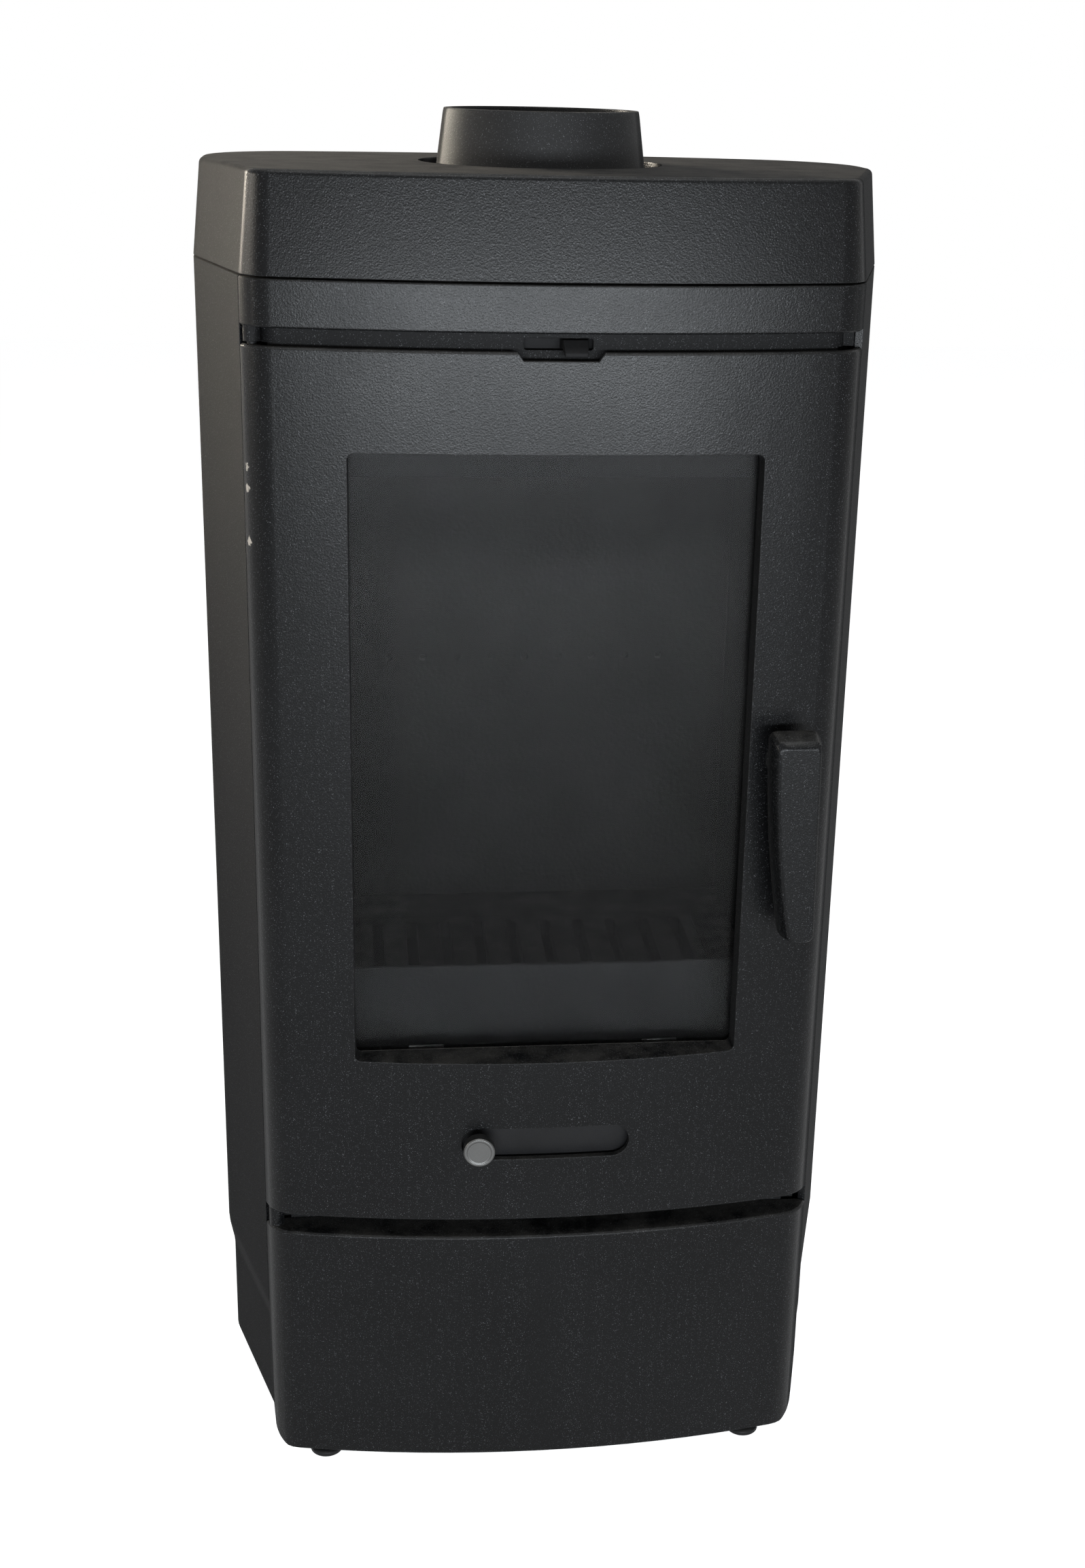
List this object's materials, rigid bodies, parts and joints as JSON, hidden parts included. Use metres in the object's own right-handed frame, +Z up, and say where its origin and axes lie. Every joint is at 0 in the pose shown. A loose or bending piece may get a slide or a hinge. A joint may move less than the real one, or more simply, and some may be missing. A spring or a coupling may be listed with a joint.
{
  "type": "wood stove",
  "caption": "Tall cast-iron log stove with a bowed front, a glazed hinged door with a lever handle, air slides, a lift-off top cover and a round top flue collar.",
  "frame": {"origin": "middle of the object's footprint box on the floor", "axes": "+X to the stove's right as seen from the front, +Y from the door towards the back, +Z up"},
  "size_m": [0.534, 0.3492, 1.0965],
  "materials": {
    "cast_paint": "matt heat-proof paint on fine sand-cast iron",
    "raw_iron": "dull as-cast iron, sooted",
    "black_steel": "matt black sheet steel",
    "pan_steel": "dull zinc-plated sheet",
    "steel": "plain zinc-plated steel",
    "nickel": "satin turned nickel",
    "glass": "smooth fire-proof ceramic glass, faintly smoked",
    "gasket": "flat woven glass-fibre tape",
    "rope": "grey knitted glass-fibre rope"
  },
  "bodies": {
    "stove_body": {"base_plate": "raw_iron", "foot_front_left": "black_steel", "foot_front_right": "black_steel", "foot_rear_left": "black_steel", "foot_rear_right": "black_steel", "front_apron": "cast_paint", "side_panel_left": "cast_paint", "side_panel_right": "cast_paint", "rear_panel": "raw_iron", "heat_shield": "black_steel", "shield_bolt_1": "steel", "shield_bolt_2": "steel", "shield_bolt_3": "steel", "shield_bolt_4": "steel", "front_frame": "cast_paint", "airwash_guide": "black_steel", "latch_keeper": "steel", "keeper_screw_1": "steel", "keeper_screw_2": "steel", "top_plate": "raw_iron", "flue_collar": "cast_paint", "collar_bolt_1": "steel", "collar_bolt_2": "steel", "collar_bolt_3": "steel", "top_cover": "cast_paint", "ash_floor": "raw_iron", "ash_box": "raw_iron", "ash_pan": "pan_steel", "firebox_floor": "raw_iron", "grate": "raw_iron", "log_guard": "raw_iron", "rear_liner": "raw_iron", "side_liner_left": "raw_iron", "side_liner_right": "raw_iron", "baffle": "raw_iron", "airwash_deflector": "black_steel", "hinge_pin_lower": "steel", "hinge_pin_upper": "steel"},
    "door_leaf": {"door": "cast_paint", "door_glass": "glass", "glass_gasket": "gasket", "glass_clip_1": "steel", "clip_screw_1": "steel", "glass_clip_2": "steel", "clip_screw_2": "steel", "glass_clip_3": "steel", "clip_screw_3": "steel", "glass_clip_4": "steel", "clip_screw_4": "steel", "door_rope": "rope", "air_rail_lower": "black_steel", "air_rail_upper": "black_steel"},
    "handle_lever": {"handle": "cast_paint", "handle_spindle": "steel", "latch_cam": "steel", "cam_nut": "steel"},
    "air_slide": {"air_slide_plate": "black_steel", "air_knob": "nickel"},
    "airwash_tab": {"airwash_slider": "black_steel"}
  },
  "joints": [
    {"name": "door_hinge", "type": "hinge", "parent": "stove_body", "child": "door_leaf", "pos_m": [-0.21857, -0.11391, 0.6], "axis": [0, 0, -1], "range_deg": [0, 110]},
    {"name": "handle_turn", "type": "hinge", "parent": "door_leaf", "child": "handle_lever", "pos_m": [0.1855, -0.15144, 0.626], "axis": [0, -1, 0], "range_deg": [0, 60]},
    {"name": "primary_air_slide", "type": "hinge", "parent": "door_leaf", "child": "air_slide", "pos_m": [0, 0.90756, 0.305], "axis": [0, 0, 1], "range_deg": [0, 5.84]},
    {"name": "airwash_slide", "type": "slide", "parent": "stove_body", "child": "airwash_tab", "axis": [1, 0, 0], "range_m": [-0.026, 0.0024]}
  ]
}
